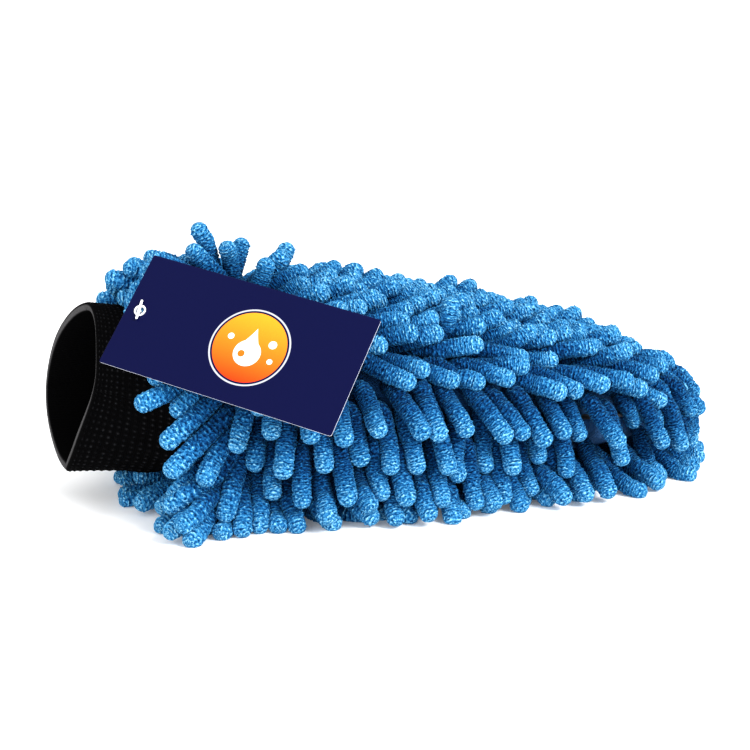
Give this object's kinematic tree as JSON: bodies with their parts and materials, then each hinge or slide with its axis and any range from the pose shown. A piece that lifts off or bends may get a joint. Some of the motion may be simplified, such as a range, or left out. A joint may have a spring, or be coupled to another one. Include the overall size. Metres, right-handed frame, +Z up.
{
  "type": "wash mitt",
  "caption": "Chenille microfibre wash mitt with a lined hand pocket, a folded rib knit cuff and a pinned hang tag, lying filled out on its palm.",
  "frame": {"origin": "middle of the bounding box's underside, on the surface that the mitt lies on", "axes": "+X from the cuff's mouth to the fingertips, +Z up from the palm through the back of the hand, -Y towards the side the tag hangs on"},
  "size_m": [0.3162, 0.1784, 0.1079],
  "materials": {
    "chenille": "soft matt microfibre chenille, bright blue with paler nub tips",
    "base_cloth": "matt knitted ground cloth, deeper blue",
    "lining": "smooth matt inner lining, dark blue",
    "rib_knit": "matt black elastic rib knit",
    "binding_tape": "matt black woven tape",
    "tag_card": "satin coated navy card",
    "white_plastic": "glossy white nylon"
  },
  "bodies": {
    "root": {"back_panel": "base_cloth", "palm_panel": "base_cloth", "back_lining": "lining", "palm_lining": "lining", "side_seam_tape": "binding_tape", "back_tuft_row_01": "chenille", "back_tuft_row_02": "chenille", "back_tuft_row_03": "chenille", "back_tuft_row_04": "chenille", "back_tuft_row_05": "chenille", "back_tuft_row_06": "chenille", "back_tuft_row_07": "chenille", "back_tuft_row_08": "chenille", "back_tuft_row_09": "chenille", "back_tuft_row_10": "chenille", "back_tuft_row_11": "chenille", "back_tuft_row_12": "chenille", "back_tuft_row_13": "chenille", "palm_tuft_row_01": "chenille", "palm_tuft_row_02": "chenille", "palm_tuft_row_03": "chenille", "palm_tuft_row_04": "chenille", "palm_tuft_row_05": "chenille", "palm_tuft_row_06": "chenille", "palm_tuft_row_07": "chenille", "palm_tuft_row_08": "chenille", "palm_tuft_row_09": "chenille", "palm_tuft_row_10": "chenille", "palm_tuft_row_11": "chenille", "palm_tuft_row_12": "chenille", "cuff_seam_binding": "binding_tape", "rib_knit_cuff": "rib_knit"},
    "pin_anchor": {"tag_pin_anchor": "white_plastic"},
    "pin_stem": {"tag_pin_stem": "white_plastic"},
    "hang_tag": {"hang_tag_card": "tag_card", "hang_tag_eyelet": "white_plastic"}
  },
  "joints": [
    {"name": "tag_swivel", "type": "hinge", "parent": "root", "child": "pin_anchor", "pos_m": [-0.11448, -0.0054, 0.0756], "axis": [-0.4232, -0.6773, 0.6018], "range_deg": [-30, 30]},
    {"name": "pin_swing", "type": "hinge", "parent": "pin_anchor", "child": "pin_stem", "pos_m": [-0.11448, -0.0054, 0.0756], "axis": [-0.5275, -0.3558, -0.7714], "range_deg": [0, 45]},
    {"name": "tag_flip", "type": "hinge", "parent": "pin_stem", "child": "hang_tag", "pos_m": [-0.12323, -0.01942, 0.08805], "axis": [-0.3916, -0.4622, -0.7956], "range_deg": [0, 30]}
  ]
}
